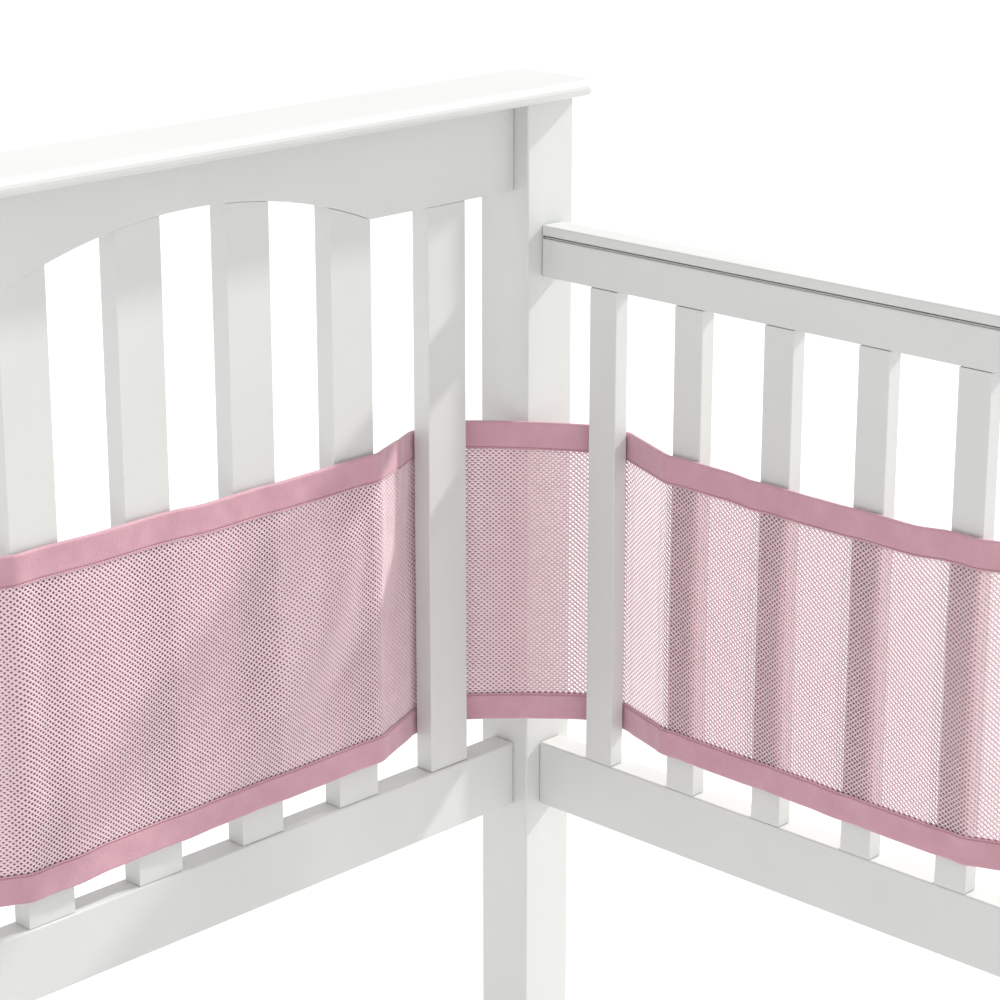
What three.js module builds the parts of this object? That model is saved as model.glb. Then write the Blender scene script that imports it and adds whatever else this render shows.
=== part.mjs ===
// A breathable mesh crib bumper woven round the slats of a crib corner.
// Millimetres, +Z up. X runs along the head panel, with the corner post at +X. Y runs along the side
// panel, with the corner post at +Y. The floor is Z = 0, and the crib's inside lies towards -X and -Y.
// The pieces are laid out from the corner post's inner edge, then the whole is moved so that the origin
// is under the middle of its box.

import * as THREE from 'three';

// Overall heights above the floor
const SIDE_TOP = 805;
const HEAD_TOP = 927;
const BOTTOM_RAIL_TOP = 330;
const BOTTOM_RAIL_HEIGHT = 60;

// Posts, and the width between the head panel's two posts
const POST = 56;
const INNER_WIDTH = 707;
const SIDE_INNER_LENGTH = 616;
const JOINT_GAP = 0.3;

// Head panel
const HEAD_RAIL_SETBACK = 16;
const HEAD_RAIL_THICKNESS = 24;
const HEAD_RAIL_BOTTOM = 835;
const ARCH_RISE = 37;
const ARCH_STEP = 15;
const HEAD_CAP_THICKNESS = 14;
const HEAD_CAP_OVERHANG = 20;
const HEAD_CAP_END_OVERHANG = 15;
const HEAD_CAP_CORNER_RADIUS = 10;
const CAP_CORE = 0.02;
const NOSE_SEGMENTS = 4;
const CORNER_SEGMENTS = 4;
const HEAD_SLATS = { count: 6, width: 44.5, thickness: 18.5, first: 57.4, gap: 65, setback: 18 };

// Side panel, shortened after its sixth slat
const SIDE_RAIL_SETBACK = 17;
const SIDE_RAIL_THICKNESS = 26;
const SIDE_RAIL_BOTTOM = 760;
const SIDE_CAP_THICKNESS = 9;
const GROOVE = 2;
const GROOVE_DEPTH = 3;
const SIDE_SLATS = { count: 6, width: 30, thickness: 15.2, first: 56.6, gap: 64.8, setback: 17 };

// Bumper cloth
const MESH_THICKNESS = 2;
const BINDING_WALL = 1;
const BINDING_HEIGHT = 25;
const BINDING_EASE = 0.7;
const CLOTH_GAP = 0.3;
const FACE_CLEARANCE = 0.4;
const EDGE_CLEARANCE = 2.6;
const GAP_CLEARANCE = 3.6;
const GAP_SAG = 0.6;
const END_TAIL = 40;
const TAUT_SHARES = [0.2, 0.8];
const STATION_SPACING = 11;
const MESH_ROWS = 6;

const BINDING_HALF = MESH_THICKNESS / 2 + CLOTH_GAP + BINDING_WALL;

// Finishes
const WHITE = 0xf1f0ec;
const PALE_PINK = 0xe9c6cd;
const ROSE = 0xc48f9b;
const paint = () => new THREE.MeshStandardMaterial({ color: WHITE, roughness: 0.38, metalness: 0 });
const meshCloth = () => new THREE.MeshStandardMaterial({ color: PALE_PINK, roughness: 0.9, metalness: 0 });
const bindingCloth = () => new THREE.MeshStandardMaterial({ color: ROSE, roughness: 0.7, metalness: 0 });

const part = new THREE.Group();
const boxLow = { x: -INNER_WIDTH - POST - HEAD_CAP_END_OVERHANG, y: -SIDE_INNER_LENGTH - POST };
const boxHigh = { x: POST + HEAD_CAP_END_OVERHANG, y: POST + HEAD_CAP_OVERHANG };
part.position.set(-(boxLow.x + boxHigh.x) / 2, -(boxLow.y + boxHigh.y) / 2, 0);

function addMesh(name, geometry, material) {
  const mesh = new THREE.Mesh(geometry, material);
  mesh.name = name;
  part.add(mesh);
  return mesh;
}

// Wooden pieces

// A plain bar from one corner to the opposite one
function bar(name, low, high) {
  const [dx, dy, dz] = high.map((value, i) => value - low[i]);
  const geometry = new THREE.BoxGeometry(dx, dy, dz);
  geometry.translate(low[0] + dx / 2, low[1] + dy / 2, low[2] + dz / 2);
  return addMesh(name, geometry, paint());
}

// An upright outline, given in X and Z, extruded along Y between two planes
function board(name, outline, yLow, yHigh) {
  const shape = new THREE.Shape(outline.map(([x, z]) => new THREE.Vector2(x, z)));
  const geometry = new THREE.ExtrudeGeometry(shape, { depth: yHigh - yLow, bevelEnabled: false });
  geometry.rotateX(Math.PI / 2);
  geometry.translate(0, yHigh, 0);
  return addMesh(name, geometry, paint());
}

// Distance of a slat's near edge from the corner post
function slatStart(slats, number) {
  return slats.first + (number - 1) * (slats.width + slats.gap);
}

// The head rail's lower edge is flat over the outer slats, with one shallow arch between them
const ARCH_HALF_SPAN = INNER_WIDTH / 2 - slatStart(HEAD_SLATS, 2);
const ARCH_RADIUS = (ARCH_HALF_SPAN ** 2 + ARCH_RISE ** 2) / (2 * ARCH_RISE);

function railUnderside(x) {
  const away = Math.min(Math.abs(x + INNER_WIDTH / 2), ARCH_HALF_SPAN);
  return HEAD_RAIL_BOTTOM + ARCH_RISE - ARCH_RADIUS + Math.sqrt(ARCH_RADIUS ** 2 - away ** 2);
}

// The underside's points from left to right, lowered by a gap where a slat's top follows it
function undersidePoints(left, right, gap) {
  const steps = Math.max(1, Math.round((right - left) / ARCH_STEP));
  return Array.from({ length: steps + 1 }, (_, i) => {
    const x = left + ((right - left) * i) / steps;
    return [x, railUnderside(x) - gap];
  });
}

function headRail() {
  const left = -INNER_WIDTH + JOINT_GAP;
  const right = -JOINT_GAP;
  const top = HEAD_TOP - HEAD_CAP_THICKNESS - JOINT_GAP;
  const archLeft = -INNER_WIDTH / 2 - ARCH_HALF_SPAN;
  const archRight = -INNER_WIDTH / 2 + ARCH_HALF_SPAN;
  board('head_rail', [
    [left, HEAD_RAIL_BOTTOM],
    ...undersidePoints(archLeft, archRight, 0),
    [right, HEAD_RAIL_BOTTOM],
    [right, top],
    [left, top],
  ], HEAD_RAIL_SETBACK, HEAD_RAIL_SETBACK + HEAD_RAIL_THICKNESS);
}

// The cap board, with rounded corners on plan and a half-round nose all the way round
function headCap() {
  const nose = HEAD_CAP_THICKNESS / 2;
  const corner = HEAD_CAP_CORNER_RADIUS;
  const low = { x: -INNER_WIDTH - POST - HEAD_CAP_END_OVERHANG + nose, y: -HEAD_CAP_OVERHANG + nose };
  const high = { x: POST + HEAD_CAP_END_OVERHANG - nose, y: POST + HEAD_CAP_OVERHANG - nose };
  const outline = new THREE.Shape();
  outline.moveTo(low.x + corner, low.y);
  outline.lineTo(high.x - corner, low.y);
  outline.absarc(high.x - corner, low.y + corner, corner, -Math.PI / 2, 0);
  outline.lineTo(high.x, high.y - corner);
  outline.absarc(high.x - corner, high.y - corner, corner, 0, Math.PI / 2);
  outline.lineTo(low.x + corner, high.y);
  outline.absarc(low.x + corner, high.y - corner, corner, Math.PI / 2, Math.PI);
  outline.lineTo(low.x, low.y + corner);
  outline.absarc(low.x + corner, low.y + corner, corner, Math.PI, 1.5 * Math.PI);
  const geometry = new THREE.ExtrudeGeometry(outline, {
    depth: CAP_CORE,
    bevelEnabled: true,
    bevelThickness: nose - CAP_CORE / 2,
    bevelSize: nose,
    bevelSegments: NOSE_SEGMENTS,
    curveSegments: CORNER_SEGMENTS,
  });
  geometry.translate(0, 0, HEAD_TOP - nose - CAP_CORE / 2);
  addMesh('head_cap', geometry, paint());
}

function headSlats() {
  const { count, width, thickness, setback } = HEAD_SLATS;
  for (let number = 1; number <= count; number += 1) {
    const right = -slatStart(HEAD_SLATS, number);
    const left = right - width;
    const foot = BOTTOM_RAIL_TOP + JOINT_GAP;
    board(`head_slat_${number}`, [
      [left, foot],
      [right, foot],
      ...undersidePoints(left, right, JOINT_GAP).reverse(),
    ], setback, setback + thickness);
  }
}

function headPanel() {
  const capUnderside = HEAD_TOP - HEAD_CAP_THICKNESS - JOINT_GAP;
  const leftPost = -INNER_WIDTH - POST;
  bar('post_corner', [0, 0, 0], [POST, POST, capUnderside]);
  bar('post_left', [leftPost, 0, 0], [leftPost + POST, POST, capUnderside]);
  headCap();
  headRail();
  headSlats();
  const back = HEAD_RAIL_SETBACK + HEAD_RAIL_THICKNESS;
  const railLow = [-INNER_WIDTH + JOINT_GAP, HEAD_RAIL_SETBACK, BOTTOM_RAIL_TOP - BOTTOM_RAIL_HEIGHT];
  bar('head_bottom_rail', railLow, [-JOINT_GAP, back, BOTTOM_RAIL_TOP]);
}

// A shadow groove runs under the side cap on both faces: the rail narrows to a tongue there
function sideRail(yLow, yHigh) {
  const face = SIDE_RAIL_SETBACK;
  const back = face + SIDE_RAIL_THICKNESS;
  const top = SIDE_TOP - SIDE_CAP_THICKNESS - JOINT_GAP;
  const shoulder = top - GROOVE;
  board('side_rail', [
    [face, SIDE_RAIL_BOTTOM],
    [back, SIDE_RAIL_BOTTOM],
    [back, shoulder],
    [back - GROOVE_DEPTH, shoulder],
    [back - GROOVE_DEPTH, top],
    [face + GROOVE_DEPTH, top],
    [face + GROOVE_DEPTH, shoulder],
    [face, shoulder],
  ], yLow, yHigh);
}

function sidePanel() {
  const yLow = -SIDE_INNER_LENGTH + JOINT_GAP;
  const yHigh = -JOINT_GAP;
  const face = SIDE_RAIL_SETBACK;
  const back = face + SIDE_RAIL_THICKNESS;
  bar('post_side_end', [0, -SIDE_INNER_LENGTH - POST, 0], [POST, -SIDE_INNER_LENGTH, SIDE_TOP]);
  bar('side_cap', [face, yLow, SIDE_TOP - SIDE_CAP_THICKNESS], [back, yHigh, SIDE_TOP]);
  sideRail(yLow, yHigh);
  bar('side_bottom_rail', [face, yLow, BOTTOM_RAIL_TOP - BOTTOM_RAIL_HEIGHT], [back, yHigh, BOTTOM_RAIL_TOP]);
  const { count, width, thickness, setback } = SIDE_SLATS;
  for (let number = 1; number <= count; number += 1) {
    const near = -slatStart(SIDE_SLATS, number);
    const low = [setback, near - width, BOTTOM_RAIL_TOP + JOINT_GAP];
    bar(`side_slat_${number}`, low, [setback + thickness, near, SIDE_RAIL_BOTTOM - JOINT_GAP]);
  }
}

// Bumper cloth

// The route weaves inside and outside the slats. Each row is a slat, numbered from the corner post:
// which side of it the cloth passes, the heights of the cloth's two edges there, and how far the mesh
// bellies towards the crib's inside.
const HEAD_ROUTE = [
  { slat: 1, side: 'outside', top: 638, bottom: 360, belly: 0 },
  { slat: 2, side: 'inside', top: 638, bottom: 361, belly: 1 },
  { slat: 3, side: 'inside', top: 637, bottom: 360, belly: 2 },
  { slat: 4, side: 'inside', top: 638, bottom: 358, belly: 3.5 },
  { slat: 5, side: 'inside', top: 638, bottom: 355, belly: 2.5 },
  { slat: 6, side: 'outside', top: 637, bottom: 358, belly: 0 },
];
const SIDE_ROUTE = [
  { slat: 1, side: 'outside', top: 634, bottom: 360, belly: 0 },
  { slat: 2, side: 'inside', top: 632, bottom: 362, belly: 1.5 },
  { slat: 3, side: 'inside', top: 629, bottom: 361, belly: 2.5 },
  { slat: 4, side: 'inside', top: 628, bottom: 359, belly: 2 },
  { slat: 5, side: 'inside', top: 630, bottom: 358, belly: 2.5 },
  { slat: 6, side: 'outside', top: 630, bottom: 359, belly: 0 },
];

// Long soft folds that cross the mesh aslant. Each row gives the fold's place along the route at the
// upper and at the lower binding, its half-width, and its height, positive towards the crib's inside.
const SLANTED_FOLDS = [
  { upper: 190, lower: 60, halfWidth: 55, height: 2.2 },
  { upper: 395, lower: 245, halfWidth: 60, height: -2.5 },
  { upper: 555, lower: 400, halfWidth: 45, height: 4 },
  { upper: 610, lower: 520, halfWidth: 30, height: -3 },
];

const onHead = (along, across) => ({ x: -along, y: across });
const onSide = (along, across) => ({ x: across, y: -along });

// How far the cloth's middle stands from a slat's inner face, positive towards the crib's outside
function standOff(side, thickness, clearance) {
  const away = BINDING_HALF + clearance;
  return side === 'inside' ? -away : thickness + away;
}

function knot(row, slats, place, along, clearance, lift) {
  const across = slats.setback + standOff(row.side, slats.thickness, clearance);
  return { ...place(along, across), top: row.top + lift, bottom: row.bottom + lift, belly: row.belly };
}

// Three knots a slat: its two edges, cleared, and its middle, where the cloth lies against the wood
function slatKnots(row, slats, place) {
  const start = slatStart(slats, row.slat);
  return [
    knot(row, slats, place, start, EDGE_CLEARANCE, 0),
    knot(row, slats, place, start + slats.width / 2, FACE_CLEARANCE, 0),
    knot(row, slats, place, start + slats.width, EDGE_CLEARANCE, 0),
  ];
}

// Where the cloth crosses from one side of the slats to the other it is pulled straight
function tautKnots(from, to) {
  return TAUT_SHARES.map((share) => {
    const blend = (key) => THREE.MathUtils.lerp(from[key], to[key], share);
    return { x: blend('x'), y: blend('y'), top: blend('top'), bottom: blend('bottom'), belly: blend('belly') };
  });
}

// A panel's knots from the corner outwards. In a gap whose slats have the cloth on the same side it
// stands a little off and sags a little.
function panelKnots(route, slats, place) {
  const knots = [];
  route.forEach((row, i) => {
    const next = route[i + 1];
    knots.push(...slatKnots(row, slats, place));
    if (!next) {
      const end = slatStart(slats, row.slat) + slats.width + END_TAIL;
      knots.push(knot(row, slats, place, end, GAP_CLEARANCE, 0));
    } else if (next.side === row.side) {
      const middle = slatStart(slats, next.slat) - slats.gap / 2;
      knots.push(knot(row, slats, place, middle, GAP_CLEARANCE, -GAP_SAG));
    } else {
      knots.push(...tautKnots(knots[knots.length - 1], slatKnots(next, slats, place)[0]));
    }
  });
  return knots;
}

// Stations along the route: place on plan, direction across the cloth towards the inside, and heights.
// The cloth crosses the corner as one taut span in front of the post.
function routeStations() {
  const knots = [
    ...panelKnots(HEAD_ROUTE, HEAD_SLATS, onHead).reverse(),
    ...panelKnots(SIDE_ROUTE, SIDE_SLATS, onSide),
  ];
  const points = knots.map(({ x, y }) => new THREE.Vector3(x, y, 0));
  const plan = new THREE.CatmullRomCurve3(points, false, 'centripetal');
  const spans = knots.length - 1;
  const stations = [];
  const addStation = (span, share) => {
    const t = (span + share) / spans;
    const at = plan.getPoint(t);
    const forward = plan.getTangent(t);
    const ease = share * share * (3 - 2 * share);
    const blend = (key) => THREE.MathUtils.lerp(knots[span][key], knots[span + 1][key], ease);
    const before = stations[stations.length - 1];
    const along = before ? before.along + Math.hypot(at.x - before.x, at.y - before.y) : 0;
    stations.push({
      x: at.x, y: at.y, inX: forward.y, inY: -forward.x, along,
      top: blend('top'), bottom: blend('bottom'), belly: blend('belly'),
    });
  };
  for (let span = 0; span < spans; span += 1) {
    const steps = Math.max(1, Math.round(points[span].distanceTo(points[span + 1]) / STATION_SPACING));
    for (let step = 0; step < steps; step += 1) addStation(span, step / steps);
  }
  addStation(spans - 1, 1);
  return stations;
}

// A closed body swept along the stations. sectionAt gives a station's outline as points across the
// cloth, positive inwards, and up, in the same number and order at every station.
function sweep(stations, sectionAt) {
  const sections = stations.map(sectionAt);
  const ring = sections[0].length;
  const position = [];
  stations.forEach((s, i) => {
    sections[i].forEach(({ across, up }) => {
      position.push(s.x + s.inX * across, s.y + s.inY * across, up);
    });
  });
  const index = [];
  for (let i = 0; i < stations.length - 1; i += 1) {
    for (let j = 0; j < ring; j += 1) {
      const a = i * ring + j;
      const b = i * ring + ((j + 1) % ring);
      index.push(a, b + ring, b, a, a + ring, b + ring);
    }
  }
  const outline = sections[0].map(({ across, up }) => new THREE.Vector2(across, up));
  const last = (stations.length - 1) * ring;
  THREE.ShapeUtils.triangulateShape(outline, []).forEach(([a, b, c]) => {
    index.push(a, b, c);
    index.push(last + c, last + b, last + a);
  });
  const geometry = new THREE.BufferGeometry();
  geometry.setAttribute('position', new THREE.Float32BufferAttribute(position, 3));
  geometry.setIndex(index);
  return geometry;
}

// How far the mesh stands out of its route at a share of its open height, 0 at the lower binding
function meshRelief(station, share) {
  const slack = Math.sin(Math.PI * share);
  const folds = SLANTED_FOLDS.map(({ upper, lower, halfWidth, height }) => {
    const ridge = THREE.MathUtils.lerp(lower, upper, share);
    return height * Math.exp(-(((station.along - ridge) / halfWidth) ** 2));
  });
  return slack * folds.reduce((sum, value) => sum + value, station.belly);
}

// The mesh panel: one sheet, with its two edges held inside the bindings' folds
function meshSection(station) {
  const half = MESH_THICKNESS / 2;
  const inset = BINDING_WALL + CLOTH_GAP;
  const low = station.bottom + BINDING_HEIGHT;
  const high = station.top - BINDING_HEIGHT;
  const middle = [{ across: 0, up: station.bottom + inset }];
  for (let row = 0; row <= MESH_ROWS; row += 1) {
    const share = row / MESH_ROWS;
    middle.push({ across: meshRelief(station, share), up: THREE.MathUtils.lerp(low, high, share) });
  }
  middle.push({ across: 0, up: station.top - inset });
  const inner = middle.map(({ across, up }) => ({ across: across + half, up }));
  const outer = middle.map(({ across, up }) => ({ across: across - half, up }));
  return [...inner, ...outer.reverse()];
}

// A binding: a strip folded over the mesh's edge, with its two legs sewn down. The fold is at the
// cloth's edge, and the legs end at the seam.
function bindingSection(fold, seam) {
  const toward = Math.sign(fold - seam);
  const slot = BINDING_HALF - BINDING_WALL;
  const shoulder = fold - toward * BINDING_EASE;
  const ridge = fold - toward * BINDING_WALL;
  const outline = [
    { across: BINDING_HALF, up: seam },
    { across: BINDING_HALF, up: shoulder },
    { across: BINDING_HALF - BINDING_EASE, up: fold },
    { across: -BINDING_HALF + BINDING_EASE, up: fold },
    { across: -BINDING_HALF, up: shoulder },
    { across: -BINDING_HALF, up: seam },
    { across: -slot, up: seam },
    { across: -slot, up: ridge },
    { across: slot, up: ridge },
    { across: slot, up: seam },
  ];
  return toward > 0 ? outline : outline.reverse();
}

function bumper() {
  const stations = routeStations();
  const topBinding = (s) => bindingSection(s.top, s.top - BINDING_HEIGHT);
  const bottomBinding = (s) => bindingSection(s.bottom, s.bottom + BINDING_HEIGHT);
  addMesh('bumper_mesh', sweep(stations, meshSection), meshCloth());
  addMesh('binding_top', sweep(stations, topBinding), bindingCloth());
  addMesh('binding_bottom', sweep(stations, bottomBinding), bindingCloth());
}

headPanel();
sidePanel();
bumper();

export default part;
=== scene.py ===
import math

import bpy
import numpy as np
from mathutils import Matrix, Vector


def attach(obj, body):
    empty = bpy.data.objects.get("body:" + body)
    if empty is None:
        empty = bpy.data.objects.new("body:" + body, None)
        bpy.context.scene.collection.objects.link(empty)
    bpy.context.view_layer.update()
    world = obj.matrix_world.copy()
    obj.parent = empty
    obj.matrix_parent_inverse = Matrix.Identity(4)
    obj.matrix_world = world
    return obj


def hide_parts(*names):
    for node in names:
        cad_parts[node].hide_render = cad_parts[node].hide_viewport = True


# Sizes are in millimetres unless a comment says metres. The cloth is laid out from the corner post's
# inner edge, as in the CAD, and ROW_SHIFT moves it into the shared frame.
MM = 0.001
ROW_SHIFT = (353.5, 298.0, 0.0)

HEAD_SLATS = {"width": 44.5, "thickness": 18.5, "first": 57.4, "gap": 65.0, "setback": 18.0}
SIDE_SLATS = {"width": 30.0, "thickness": 15.2, "first": 56.6, "gap": 64.8, "setback": 17.0}
BINDING_HALF = 2.3
BINDING_WALL = 1.0
BINDING_HEIGHT = 25.0
BUMPER_HEIGHT = 278.0
FACE_CLEARANCE = 1.0
EDGE_CLEARANCE = 1.9
GAP_CLEARANCE = 2.5
GAP_SAG = 0.4
END_TAIL = 40.0
TAUT_SHARES = (0.2, 0.8)
SPAN_STEPS = 48

# Each row is a slat: its number, the side that the cloth passes, the cloth's top and bottom heights,
# and the mesh's belly
HEAD_ROUTE = [
    (1, "outside", 638, 360, 0.0),
    (2, "inside", 638, 361, 1.0),
    (3, "inside", 637, 360, 2.0),
    (4, "inside", 638, 358, 3.5),
    (5, "inside", 638, 355, 2.5),
    (6, "outside", 637, 358, 0.0),
]
SIDE_ROUTE = [
    (1, "outside", 634, 360, 0.0),
    (2, "inside", 632, 362, 1.5),
    (3, "inside", 629, 361, 2.5),
    (4, "inside", 628, 359, 2.0),
    (5, "inside", 630, 358, 2.5),
    (6, "outside", 630, 359, 0.0),
]

# Long soft folds: place along the route at the upper and lower binding, half-width, height
SLANTED_FOLDS = [
    (190, 60, 55, 2.2),
    (430, 285, 55, -3.5),
    (511, 386, 36, 12.0),
    (610, 520, 30, -3.0),
]

# The crease where the cloth turns back before the first head slat: its place at the top edge, how far
# it shifts along the route for each millimetre down, and the depths below the top edge where it begins
# to fade and is gone
CREASE_AT = 573.0
CREASE_LEAN = -0.1
CREASE_HALF_WIDTH = 4.0
CREASE_HEIGHT = 0.9
CREASE_ROUNDING = 1.5
CREASE_FADES_AT = 30.0
CREASE_GONE_AT = 180.0

# Woven lattice of the mesh. LATTICE_JOIN is where its head and side parts meet, behind a slat, and
# STRAND_ROUND is how deep the strands slope into the holes of the inner (1) and outer (-1) face.
HOLE_PITCH = 5.2
LATTICE_ROWS = 108
LATTICE_JOIN = 621.0
FACE_OFFSET = 1.0
# The inset below places a dark layer just inside the outer face; its colour is painted shade between the
# mesh's two faces, which darkens the holes.
PAINTED_SHADE_INSET = 0.12
STRAND_ROUND = {1: 0.9, -1: 0.5}
HIDDEN_MARGIN = 2.0
MESH_OPEN_HEIGHT = 228.0

# How open the inner (1) and outer (-1) faces' holes are, as places along the cloth and shares of a
# cell. These and OUTER_DRIFT are set for the camera's angle, from which the holes look closed on the
# head panel and open on the side panel.
OPENING = {
    1: ((0, 0.54), (698, 0.54), (716, 0.68), (860, 0.69), (1340, 0.69)),
    -1: ((0, 0.44), (698, 0.44), (716, 0.70), (860, 0.69), (1340, 0.69)),
}

# How far the outer face's holes lie from the inner face's: down, and at places along the cloth
OUTER_DROP = 1.05
OUTER_DRIFT = (
    (0, -1.35),
    (90, -1.35),
    (115, -2.1),
    (140, -2.1),
    (165, -1.2),
    (300, -1.05),
    (560, -0.6),
    (650, -2.25),
    (696, -2.5),
    (712, 0.0),
    (750, -0.1),
    (765, -1.1),
    (800, -1.4),
    (920, -1.75),
    (1100, -1.55),
    (1340, -1.2),
)

# Steps from the middle of a hole to the lattice's knots round it, and the sides between them
DIAMOND = ((1, 0), (0, 1), (-1, 0), (0, -1))
DIAMOND_SIDES = ((0, 1), (1, 2), (2, 3), (3, 0))

# One side of a binding at its hem: how far inside its face, distance from the hem's edge, puff share.
# The sewn groove is 0.8 mm deep.
HEM_PROFILE = (
    (0.3, 0.0, 0),
    (0.05, 0.3, 0),
    (0.0, 0.8, 0),
    (0.2, 1.2, 0),
    (0.8, 1.5, 0),
    (0.8, 1.9, 0),
    (0.2, 2.2, 0),
    (0.0, 3.0, 0.2),
    (0.0, 4.5, 0.6),
)

# The rest of that side, as distance from the fold and puff share, and the rounding of the fold
PUFF_PROFILE = ((19.0, 1), (15.0, 1), (11.0, 1), (7.0, 1), (4.0, 0.6))
FOLD_ROUND = 2.1
FOLD_STEPS = 6

# Half of the slot that holds the mesh: share of its half-width, distance from the fold
SLOT_PROFILE = ((1, BINDING_HEIGHT), (1, 12.0), (1, 2.2), (0.6, 1.2))

# Steps of a binding along the cloth
BINDING_COLUMNS = 760

# Puckers of the bindings: a sum of waves drawn at random, with a seed each for the upper (1) and the
# lower (-1) one
PUCKER_SEEDS = {1: 7, -1: 11}
PUCKER_WAVES = 9
PUCKER_PERIODS = (18, 70)
PUCKER_PHASES = (0, 6.28)
PUCKER_LEANS = (-0.25, 0.25)
PUCKER_SLANT = 6
PUCKER_SPREAD = 2.2
PUCKER_HEIGHT = 0.14
PUFF_DRAWN_IN = 0.25

# The stitches also pull small ripples into the hem: their height, the distance from the fold where
# they begin, and how far out of the middle
RIPPLE_HEIGHT = 0.06
RIPPLE_FROM = 20.5
RIPPLE_OUTSIDE = 1.5

# Stitches along the bindings' seams. Each ring of a stitch is share along it, lift, radius.
STITCH_PITCH = 3.2
STITCH_LENGTH = 2.5
STITCH_INSET = 1.7
STITCH_SINK = 0.75
STITCH_SIDES = 5
STITCH_RINGS = (
    (0.0, -0.35, 0.1),
    (0.2, 0.2, 0.3),
    (0.5, 0.35, 0.34),
    (0.8, 0.2, 0.3),
    (1.0, -0.35, 0.1),
)

# Flat sizes of the cloth, in metres
MESH_FLAT_HEIGHT = 0.232

# Rounded edges of the wood: radius, steps, and the least angle in degrees of an edge that is rounded.
# Points nearer than WELD_DISTANCE, in metres, are joined first.
SLAT_EDGE = 0.8
RAIL_EDGE = 1.6
EDGE_SEGMENTS = 3
EDGE_ANGLE = 40
WELD_DISTANCE = 0.00001

# Shared values of the materials: the mesh yarn's refraction, higher than real for its gloss, the ends
# of each colour ramp, and the shades of the mesh's patches
YARN_IOR = 1.9
RAMP_ENDS = (0.3, 0.7)
DARKER = 0.94
LIGHTER = 1.04

# Camera, lights and floor: places in metres, the pitch in radians and the lens in millimetres
CAMERA_AT = (-1.4004, -1.3677, 1.3180)
CAMERA_HEADING = (0.7183, 0.6957)
CAMERA_PITCH = 0.3027
CAMERA_LENS = 104.13
CAMERA_SENSOR = 36
SUN_FROM = (0.744, -0.182, 0.53)
SUN_IRRADIANCE = 3.5
SUN_DEGREES = 3.5
SUN_COLOUR = (1.0, 0.985, 0.96)
SKY_COLOUR = (0.985, 0.99, 1.0, 1)
SKY_RADIANCE = 0.875
SIDE_LIGHT_AT = (2.8, 0.5, 1.0)
SIDE_LIGHT_TARGET = (0.35, 0.0, 0.5)
SIDE_LIGHT_SIZE = (2.4, 1.6)
SIDE_LIGHT_POWER = 10.0
FLOOR_HALF = 30.0
FLOOR_DROP = 0.0005


# Route of the cloth


def slat_start(slats, number):
    return slats["first"] + (number - 1) * (slats["width"] + slats["gap"])


def stand_off(side, thickness, clearance):
    away = BINDING_HALF + clearance
    return -away if side == "inside" else thickness + away


def on_head(along, across):
    return (-along, across)


def on_side(along, across):
    return (across, -along)


def knot(row, slats, place, along, clearance, lift):
    _, side, top, bottom, belly = row
    across = slats["setback"] + stand_off(side, slats["thickness"], clearance)
    x, y = place(along, across)
    return (x, y, top + lift, bottom + lift, belly)


def panel_knots(route, slats, place):
    """Knots past one panel's slats, from the corner outwards."""
    width = slats["width"]
    knots = []
    for i, row in enumerate(route):
        start = slat_start(slats, row[0])
        knots.append(knot(row, slats, place, start, EDGE_CLEARANCE, 0))
        knots.append(knot(row, slats, place, start + width / 2, FACE_CLEARANCE, 0))
        knots.append(knot(row, slats, place, start + width, EDGE_CLEARANCE, 0))
        if i + 1 == len(route):
            knots.append(knot(row, slats, place, start + width + END_TAIL, GAP_CLEARANCE, 0))
            continue
        following = route[i + 1]
        next_start = slat_start(slats, following[0])
        if following[1] == row[1]:
            middle = next_start - slats["gap"] / 2
            knots.append(knot(row, slats, place, middle, GAP_CLEARANCE, -GAP_SAG))
        else:
            begin = np.array(knots[-1])
            end = np.array(knot(following, slats, place, next_start, EDGE_CLEARANCE, 0))
            knots.extend(tuple(begin + (end - begin) * share) for share in TAUT_SHARES)
    return knots


def span_curve(p0, p1, p2, p3, t):
    """Centripetal Catmull-Rom from p1 to p2, as the CAD's curve: its points and directions."""
    d0 = np.linalg.norm(p1 - p0) ** 0.5
    d1 = np.linalg.norm(p2 - p1) ** 0.5
    d2 = np.linalg.norm(p3 - p2) ** 0.5
    t1 = ((p1 - p0) / d0 - (p2 - p0) / (d0 + d1) + (p2 - p1) / d1) * d1
    t2 = ((p2 - p1) / d1 - (p3 - p1) / (d1 + d2) + (p3 - p2) / d2) * d1
    t = t[:, None]
    c2 = -3 * p1 + 3 * p2 - 2 * t1 - t2
    c3 = 2 * p1 - 2 * p2 + t1 + t2
    at = p1 + t1 * t + c2 * t**2 + c3 * t**3
    forward = t1 + 2 * c2 * t + 3 * c3 * t**2
    return at, forward / np.linalg.norm(forward, axis=1)[:, None]


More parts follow.
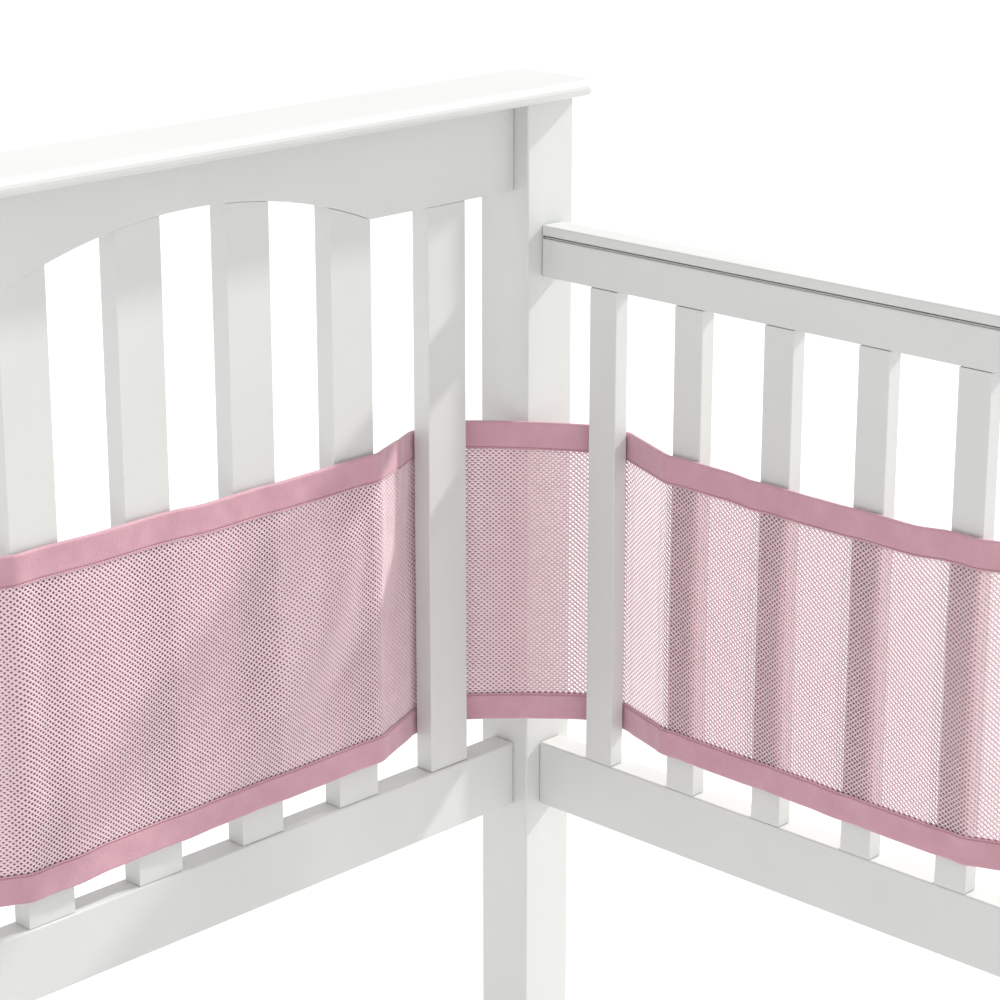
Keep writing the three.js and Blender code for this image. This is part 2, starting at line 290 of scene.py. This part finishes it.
class Route:
    """The cloth's way along the slats: anything on it is found from its running length."""

    def __init__(self):
        knots = panel_knots(HEAD_ROUTE, HEAD_SLATS, on_head)[::-1]
        knots += panel_knots(SIDE_ROUTE, SIDE_SLATS, on_side)
        knots = np.array(knots, float)
        plan = knots[:, :2]
        plan = np.vstack([2 * plan[0] - plan[1], plan, 2 * plan[-1] - plan[-2]])
        ats, forwards, edges = [], [], []
        for i in range(len(knots) - 1):
            last = i == len(knots) - 2
            t = np.linspace(0, 1, SPAN_STEPS + 1)[: None if last else -1]
            at, forward = span_curve(*plan[i : i + 4], t)
            ease = (t * t * (3 - 2 * t))[:, None]
            ats.append(at)
            forwards.append(forward)
            edges.append(knots[i, 2:] * (1 - ease) + knots[i + 1, 2:] * ease)
        self.at = np.vstack(ats)
        self.forward = np.vstack(forwards)
        self.edges = np.vstack(edges)
        steps = np.linalg.norm(np.diff(self.at, axis=0), axis=1)
        self.along = np.concatenate([[0], np.cumsum(steps)])
        self.length = float(self.along[-1])

    def _read(self, s, values):
        return np.interp(s, self.along, values)

    def top(self, s):
        return self._read(s, self.edges[:, 0])

    def bottom(self, s):
        return self._read(s, self.edges[:, 1])

    def belly(self, s):
        return self._read(s, self.edges[:, 2])

    def place(self, s, across, up):
        """Points in the shared frame, in metres."""
        fx = self._read(s, self.forward[:, 0])
        fy = self._read(s, self.forward[:, 1])
        size = np.hypot(fx, fy)
        x = self._read(s, self.at[:, 0]) + fy / size * across
        y = self._read(s, self.at[:, 1]) - fx / size * across
        return np.stack([x + ROW_SHIFT[0], y + ROW_SHIFT[1], up + 0 * x], axis=-1) * MM


ROUTE = Route()


def crease(s, depth):
    """Height of the crease at a depth below the cloth's top edge."""
    ridge = CREASE_AT + CREASE_LEAN * depth
    fade = np.clip((CREASE_GONE_AT - depth) / (CREASE_GONE_AT - CREASE_FADES_AT), 0, 1)
    away = np.abs((s - ridge) / CREASE_HALF_WIDTH) ** CREASE_ROUNDING
    return CREASE_HEIGHT * fade * np.exp(-away)


def mesh_relief(s, share):
    """How far the mesh stands out of its route at a share of its open height."""
    slack = np.sin(np.pi * np.clip(share, 0, 1))
    total = ROUTE.belly(s)
    for upper, lower, half_width, height in SLANTED_FOLDS:
        ridge = lower + (upper - lower) * share
        total = total + height * np.exp(-(((s - ridge) / half_width) ** 2))
    return slack * total


def mesh_point(s, share, across):
    low = ROUTE.bottom(s) + BINDING_HEIGHT
    high = ROUTE.top(s) - BINDING_HEIGHT
    up = low + (high - low) * share
    stand = mesh_relief(s, share) + crease(s, ROUTE.top(s) - up)
    return ROUTE.place(s, stand + across, up)


# Shapes


def new_object(name, points, faces, material, smooth=True):
    mesh = bpy.data.meshes.new(name)
    mesh.from_pydata([tuple(p) for p in points], [], [tuple(f) for f in faces])
    mesh.validate()
    if smooth:
        mesh.polygons.foreach_set("use_smooth", [True] * len(mesh.polygons))
    mesh.materials.append(material)
    mesh.update()
    obj = bpy.data.objects.new(name, mesh)
    bpy.context.scene.collection.objects.link(obj)
    return obj


def tube_faces(start, rings, around):
    """Quads between rings of points that follow each other."""
    faces = []
    for i in range(rings - 1):
        for k in range(around):
            a = start + i * around + k
            b = start + i * around + (k + 1) % around
            faces.append((a, b, b + around, a + around))
    return faces


# Mesh


def drifted(points, side):
    """Where a lattice's points lie on their own face. The inner face has no drift."""
    s, share = np.array(points).T
    if side > 0:
        return np.clip(s, 0, ROUTE.length), share
    drift = np.interp(s, *zip(*OUTER_DRIFT))
    return np.clip(s + drift, 0, ROUTE.length), share - OUTER_DROP / MESH_OPEN_HEIGHT


def lattice_knots(first, last):
    """Numbers of the lattice's knots, by column and row. Its rim has one at each place."""
    index = {}
    for a in range(first, last + 1):
        for b in range(LATTICE_ROWS + 1):
            on_rim = a in (first, last) or b in (0, LATTICE_ROWS)
            if (a + b) % 2 == 1 or on_rim:
                index[a, b] = len(index)
    return index


def lattice_face(name, side, inset, begin, end, material):
    """Part of one face of the mesh: strands round staggered holes. side is 1 inwards, -1 outwards."""
    half_pitch = HOLE_PITCH / 2
    first = int(round(begin / half_pitch))
    last = int(round(end / half_pitch))
    pad = HIDDEN_MARGIN / MESH_OPEN_HEIGHT
    s_at = np.arange(last + 1) * half_pitch
    share_at = np.linspace(-pad, 1 + pad, LATTICE_ROWS + 1)
    opening = np.interp(s_at, *zip(*OPENING[side]))
    half_width = opening * half_pitch
    half_height = opening * (share_at[1] - share_at[0])
    index = lattice_knots(first, last)
    knots = [(s_at[a], share_at[b]) for a, b in index]
    rims, faces = [], []
    for a in range(first, last + 1):
        for b in range(LATTICE_ROWS + 1):
            if (a + b) % 2 == 1:
                continue
            ring = [index.get((a + da, b + db)) for da, db in DIAMOND]
            if None in ring:
                pairs = [(ring[k], ring[n]) for k, n in DIAMOND_SIDES]
                faces += [(index[a, b], *pair) for pair in pairs if None not in pair]
                continue
            base = len(knots) + len(rims)
            for da, db in DIAMOND:
                rims.append((s_at[a] + da * half_width[a], share_at[b] + db * half_height[a]))
            faces += [(ring[k], ring[n], base + n, base + k) for k, n in DIAMOND_SIDES]
    out = FACE_OFFSET - inset
    tops = mesh_point(*drifted(knots, side), side * out)
    edges = mesh_point(*drifted(rims, side), side * (out - STRAND_ROUND[side]))
    if side < 0:
        faces = [f[::-1] for f in faces]
    return new_object(name, np.vstack([tops, edges]), faces, material)


def mesh_layers():
    """The mesh's drawn layers: name, side, inset and material. The painted-shade layer lies just inside
    the outer face: a dark sheet that paints the shade between the mesh's two faces.
    """
    inner = translucent_cloth(
        "pink_mesh_inner",
        front=(0.985, 0.74, 0.79),
        back=(1.0, 0.84, 0.88),
        share=0.14,
        roughness=0.4,
        sheen=1.0,
        gloss=1.0,
    )
    outer = translucent_cloth(
        "pink_mesh_outer",
        front=(0.80, 0.51, 0.58),
        back=(1.0, 0.82, 0.86),
        share=0.3,
        roughness=0.6,
        sheen=0.6,
        gloss=0.5,
    )
    # A dark rose sheet just inside the outer face: painted shade between the mesh's two faces, which
    # makes the holes look dark.
    painted_shade_cloth = translucent_cloth(
        "pink_mesh_painted_shade",
        front=(0.43, 0.145, 0.21),
        back=(1.0, 0.75, 0.8),
        share=0.25,
        roughness=0.85,
        sheen=0.2,
        gloss=0.2,
    )
    return (
        ("inner_face", 1, 0, inner),
        ("outer_face", -1, 0, outer),
        ("outer_painted_shade", -1, PAINTED_SHADE_INSET, painted_shade_cloth),
    )


def build_mesh():
    """The mesh's pieces, each with its flat size and the area that its strands fill, in metres."""
    layers = mesh_layers()
    spans = {"head": (0.0, LATTICE_JOIN), "side": (LATTICE_JOIN, ROUTE.length)}
    rows = []
    for panel, (begin, end) in spans.items():
        for layer, side, inset, material in layers:
            piece = lattice_face(f"mesh_{layer}_{panel}", side, inset, begin, end, material)
            opening = np.interp(np.linspace(begin, end), *zip(*OPENING[side]))
            flat = (MESH_FLAT_HEIGHT, (end - begin) * MM)
            area = flat[0] * flat[1] * (1 - float(np.mean(opening**2)))
            rows.append((piece, flat, area))
    return rows


# Bindings: toward is 1 for the upper one, whose fold is on top, and -1 for the lower one


def fold_section():
    """Outline of a binding as (across, distance from the fold, puff share)."""
    half = BINDING_HALF
    outer = [(half - inside, BINDING_HEIGHT - away, puff) for inside, away, puff in HEM_PROFILE]
    outer += [(half, depth, puff) for depth, puff in PUFF_PROFILE]
    for angle in np.radians(np.linspace(0, 90, FOLD_STEPS)):
        outer.append((half * math.cos(angle), FOLD_ROUND * (1 - math.sin(angle)), 0))
    mirrored = [(-across, depth, puff) for across, depth, puff in outer[::-1][1:]]
    slot = half - BINDING_WALL
    far = [(-slot * share, depth, 0) for share, depth in SLOT_PROFILE]
    near = [(slot * share, depth, 0) for share, depth in SLOT_PROFILE[::-1]]
    return outer + mirrored + far + near


def puckers(toward, s):
    """A function of distance from the fold that gives the sum of the puckers' waves along s."""
    rng = np.random.default_rng(PUCKER_SEEDS[toward])
    waves = [
        (rng.uniform(*PUCKER_PERIODS), rng.uniform(*PUCKER_PHASES), rng.uniform(*PUCKER_LEANS))
        for _ in range(PUCKER_WAVES)
    ]

    def swell(depth):
        total = np.zeros_like(s)
        for period, phase, lean in waves:
            total = total + np.sin(2 * np.pi * (s + lean * depth * PUCKER_SLANT) / period + phase)
        return total

    return swell


def edge_line(toward, s):
    return ROUTE.top(s) if toward > 0 else ROUTE.bottom(s)


def binding_crease(toward, s, depth):
    return crease(s, depth if toward > 0 else BUMPER_HEIGHT - depth)


def binding(name, toward, material):
    section = fold_section()
    s = np.linspace(0, ROUTE.length, BINDING_COLUMNS + 1)
    around = len(section)
    fold = edge_line(toward, s)
    swell = puckers(toward, s)
    ripples = RIPPLE_HEIGHT * np.sin(2 * np.pi * s / STITCH_PITCH)
    points = np.zeros((BINDING_COLUMNS + 1, around, 3))
    for k, (across, depth, puff) in enumerate(section):
        side = 1 if across > 0 else -1
        bulge = -PUFF_DRAWN_IN * puff + PUCKER_HEIGHT * puff * swell(depth) / PUCKER_SPREAD
        if depth > RIPPLE_FROM and abs(across) > RIPPLE_OUTSIDE:
            bulge = bulge + ripples
        out = across + binding_crease(toward, s, depth) + side * bulge
        points[:, k] = ROUTE.place(s, out, fold - toward * depth)
    faces = tube_faces(0, BINDING_COLUMNS + 1, around)
    faces.append(tuple(range(around))[::-1])
    faces.append(tuple(BINDING_COLUMNS * around + k for k in range(around)))
    if toward < 0:
        faces = [f[::-1] for f in faces]
    return new_object(name, points.reshape(-1, 3), faces, material)


def stitches(name, toward, side, material):
    """A row of short thread loops in a binding's seam groove. side is 1 inwards, -1 outwards."""
    count = int(ROUTE.length / STITCH_PITCH)
    start = np.arange(count) * STITCH_PITCH + STITCH_PITCH / 2
    depth = BINDING_HEIGHT - STITCH_INSET
    points = []
    for share, lift, radius in STITCH_RINGS:
        s = start + (share - 0.5) * STITCH_LENGTH
        bend = binding_crease(toward, s, depth)
        for k in range(STITCH_SIDES):
            turn = 2 * np.pi * k / STITCH_SIDES
            out = BINDING_HALF - STITCH_SINK + lift + radius * math.cos(turn)
            up = edge_line(toward, s) - toward * depth + radius * math.sin(turn)
            points.append(ROUTE.place(s, side * out + bend, up))
    rings = len(STITCH_RINGS)
    faces = []
    for i in range(count):
        tube = tube_faces(i * rings * STITCH_SIDES, rings, STITCH_SIDES)
        faces += [(a, d, c, b) for a, b, c, d in tube]
    return new_object(name, np.stack(points, axis=1).reshape(-1, 3), faces, material)


def build_bindings():
    """Each binding and its rows of stitches, by the node that they replace."""
    cloth = binding_cloth()
    pieces = {
        "binding_top": binding("top_binding", 1, cloth),
        "binding_bottom": binding("bottom_binding", -1, cloth),
    }
    sewing = thread()
    rows = {
        node_name: [
            stitches(f"{node_name}_stitches_{face}", toward, side, sewing)
            for side, face in ((1, "inner"), (-1, "outer"))
        ]
        for toward, node_name in ((1, "binding_top"), (-1, "binding_bottom"))
    }
    return pieces, rows


# Materials


def new_material(name):
    material = bpy.data.materials.new(name)
    material.use_nodes = True
    tree = material.node_tree
    bsdf = next(n for n in tree.nodes if n.type == "BSDF_PRINCIPLED")
    return material, tree, bsdf


def node(tree, kind, **inputs):
    made = tree.nodes.new(kind)
    for key, value in inputs.items():
        made.inputs[key.replace("_", " ")].default_value = value
    return made


def two_tone(tree, fac, colours):
    """A ramp from the first colour to the second."""
    made = tree.nodes.new("ShaderNodeValToRGB")
    elements = made.color_ramp.elements
    for element, at, colour in zip(elements, RAMP_ENDS, colours):
        element.position = at
        element.color = (*colour, 1)
    tree.links.new(fac, made.inputs["Fac"])
    return made.outputs["Color"]


def object_noise(tree, scale, detail=3.0):
    where = tree.nodes.new("ShaderNodeTexCoord")
    noise = node(tree, "ShaderNodeTexNoise", Scale=scale, Detail=detail, Roughness=0.55)
    tree.links.new(where.outputs["Object"], noise.inputs["Vector"])
    return noise.outputs["Fac"]


def bump(tree, height, strength, distance, bsdf):
    made = node(tree, "ShaderNodeBump", Strength=strength, Distance=distance)
    tree.links.new(height, made.inputs["Height"])
    tree.links.new(made.outputs["Normal"], bsdf.inputs["Normal"])


def white_paint():
    material, tree, bsdf = new_material("satin_white_paint")
    broad = object_noise(tree, scale=9.0, detail=4.0)
    fine = object_noise(tree, scale=420.0, detail=2.0)
    colour = two_tone(tree, broad, ((0.635, 0.645, 0.625), (0.66, 0.67, 0.65)))
    tree.links.new(colour, bsdf.inputs["Base Color"])
    smears = object_noise(tree, scale=30.0)
    rough = two_tone(tree, smears, ((0.36, 0.36, 0.36), (0.46, 0.46, 0.46)))
    tree.links.new(rough, bsdf.inputs["Roughness"])
    bsdf.inputs["Specular IOR Level"].default_value = 0.45
    bump(tree, fine, strength=0.12, distance=0.0004, bsdf=bsdf)
    return material


def translucent_cloth(name, front, back, share, roughness, sheen, gloss):
    """A cloth that lets a share of the light through: front is what it reflects, back what it passes."""
    material, tree, bsdf = new_material(name)
    patches = object_noise(tree, scale=60.0, detail=4.0)
    darker = tuple(DARKER * c for c in front)
    lighter = tuple(min(1.0, LIGHTER * c) for c in front)
    tree.links.new(two_tone(tree, patches, (darker, lighter)), bsdf.inputs["Base Color"])
    bsdf.inputs["Roughness"].default_value = roughness
    bsdf.inputs["Sheen Weight"].default_value = sheen
    bsdf.inputs["Sheen Roughness"].default_value = 0.35
    bsdf.inputs["Specular IOR Level"].default_value = gloss
    bsdf.inputs["IOR"].default_value = YARN_IOR
    weave = object_noise(tree, scale=1500.0, detail=2.0)
    bump(tree, weave, strength=0.3, distance=0.0003, bsdf=bsdf)
    through = node(tree, "ShaderNodeBsdfTranslucent", Color=(*back, 1))
    mix = tree.nodes.new("ShaderNodeMixShader")
    mix.inputs["Fac"].default_value = share
    out = next(n for n in tree.nodes if n.type == "OUTPUT_MATERIAL")
    tree.links.new(bsdf.outputs["BSDF"], mix.inputs[1])
    tree.links.new(through.outputs["BSDF"], mix.inputs[2])
    tree.links.new(mix.outputs["Shader"], out.inputs["Surface"])
    return material


def binding_cloth():
    material, tree, bsdf = new_material("rose_satin_binding")
    where = tree.nodes.new("ShaderNodeTexCoord")
    nubs = node(tree, "ShaderNodeTexVoronoi", Scale=520.0)
    tree.links.new(where.outputs["Object"], nubs.inputs["Vector"])
    patches = object_noise(tree, scale=45.0, detail=5.0)
    colour = two_tone(tree, patches, ((0.525, 0.282, 0.337), (0.575, 0.325, 0.38)))
    tree.links.new(colour, bsdf.inputs["Base Color"])
    bsdf.inputs["Roughness"].default_value = 0.55
    bsdf.inputs["Sheen Weight"].default_value = 0.6
    bsdf.inputs["Sheen Roughness"].default_value = 0.4
    bsdf.inputs["Specular IOR Level"].default_value = 0.35
    bump(tree, nubs.outputs["Distance"], strength=0.35, distance=0.0004, bsdf=bsdf)
    return material


def thread():
    material, tree, bsdf = new_material("rose_thread_and_seam_shade")
    patches = object_noise(tree, scale=300.0)
    # The thread is a deeper rose than the binding; its darkness also paints the shade in the seam groove
    # under the binding's edge.
    colour = two_tone(tree, patches, ((0.42, 0.17, 0.215), (0.50, 0.21, 0.26)))
    tree.links.new(colour, bsdf.inputs["Base Color"])
    bsdf.inputs["Roughness"].default_value = 0.6
    bsdf.inputs["Sheen Weight"].default_value = 0.2
    return material


def floor_material():
    material, tree, bsdf = new_material("pale_floor")
    patches = object_noise(tree, scale=2.0)
    colour = two_tone(tree, patches, ((0.86, 0.86, 0.86), (0.88, 0.88, 0.88)))
    tree.links.new(colour, bsdf.inputs["Base Color"])
    bsdf.inputs["Roughness"].default_value = 0.9
    bsdf.inputs["Specular IOR Level"].default_value = 0.1
    return material


# Setting


def aim(obj, direction):
    obj.rotation_euler = direction.to_track_quat("-Z", "Y").to_euler()


def add_camera():
    data = bpy.data.cameras.new("camera")
    data.lens = CAMERA_LENS
    data.sensor_width = CAMERA_SENSOR
    camera = bpy.data.objects.new("camera", data)
    bpy.context.scene.collection.objects.link(camera)
    level = math.cos(CAMERA_PITCH)
    camera.location = CAMERA_AT
    aim(camera, Vector((CAMERA_HEADING[0] * level, CAMERA_HEADING[1] * level, -math.sin(CAMERA_PITCH))))
    bpy.context.scene.camera = camera


def add_sun():
    data = bpy.data.lights.new("sun", "SUN")
    data.energy = SUN_IRRADIANCE
    data.angle = math.radians(SUN_DEGREES)
    data.color = SUN_COLOUR
    sun = bpy.data.objects.new("sun", data)
    aim(sun, -Vector(SUN_FROM))
    bpy.context.scene.collection.objects.link(sun)


def add_side_light():
    data = bpy.data.lights.new("side_light", "AREA")
    data.shape = "RECTANGLE"
    data.size, data.size_y = SIDE_LIGHT_SIZE
    data.energy = SIDE_LIGHT_POWER
    lamp = bpy.data.objects.new("side_light", data)
    lamp.location = SIDE_LIGHT_AT
    aim(lamp, Vector(SIDE_LIGHT_TARGET) - Vector(SIDE_LIGHT_AT))
    lamp.visible_camera = False
    bpy.context.scene.collection.objects.link(lamp)


def add_sky():
    world = bpy.data.worlds.new("studio")
    world.use_nodes = True
    background = world.node_tree.nodes["Background"]
    background.inputs["Color"].default_value = SKY_COLOUR
    background.inputs["Strength"].default_value = SKY_RADIANCE
    bpy.context.scene.world = world


def add_floor():
    half = FLOOR_HALF
    corners = [(-half, -half, 0), (half, -half, 0), (half, half, 0), (-half, half, 0)]
    floor = new_object("floor", corners, [(0, 1, 2, 3)], floor_material(), smooth=False)
    floor.location.z = -FLOOR_DROP


def finish_wood(nodes):
    paint = white_paint()
    for name, obj in nodes.items():
        if name in ("bumper_mesh", "binding_top", "binding_bottom"):
            continue
        for slot in obj.material_slots:
            slot.material = paint
        weld = obj.modifiers.new("weld", "WELD")
        weld.merge_threshold = WELD_DISTANCE
        bevel = obj.modifiers.new("bevel", "BEVEL")
        bevel.width = (SLAT_EDGE if "slat" in name else RAIL_EDGE) * MM
        bevel.segments = EDGE_SEGMENTS
        bevel.limit_method = "ANGLE"
        bevel.angle_limit = math.radians(EDGE_ANGLE)
        bevel.harden_normals = True


def dress(piece, node_name):
    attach(piece, "root")
    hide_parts(node_name)


def dress_part(nodes):
    """Builds the cloth, hangs each piece on the root body and hides the node that it stands for, and
    finishes the wood.
    """
    mesh_rows = build_mesh()
    bindings, stitch_rows = build_bindings()
    for node_name, rows in stitch_rows.items():
        for row in rows:
            dress(row, node_name)
    for piece, _, _ in mesh_rows:
        dress(piece, "bumper_mesh")
    for node_name, piece in bindings.items():
        dress(piece, node_name)
    for node_name, piece in bindings.items():
        rows = stitch_rows[node_name]
    finish_wood(nodes)


def add_setting():
    add_floor()
    add_camera()
    add_sun()
    add_side_light()
    add_sky()
    bpy.context.scene.view_settings.view_transform = "Standard"


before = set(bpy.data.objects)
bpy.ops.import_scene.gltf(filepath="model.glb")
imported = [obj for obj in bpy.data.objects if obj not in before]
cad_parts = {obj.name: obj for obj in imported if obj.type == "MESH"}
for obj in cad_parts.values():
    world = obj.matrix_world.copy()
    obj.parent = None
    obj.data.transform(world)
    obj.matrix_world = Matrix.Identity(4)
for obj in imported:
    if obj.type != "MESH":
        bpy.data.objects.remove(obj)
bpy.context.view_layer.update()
dress_part(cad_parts)
add_setting()
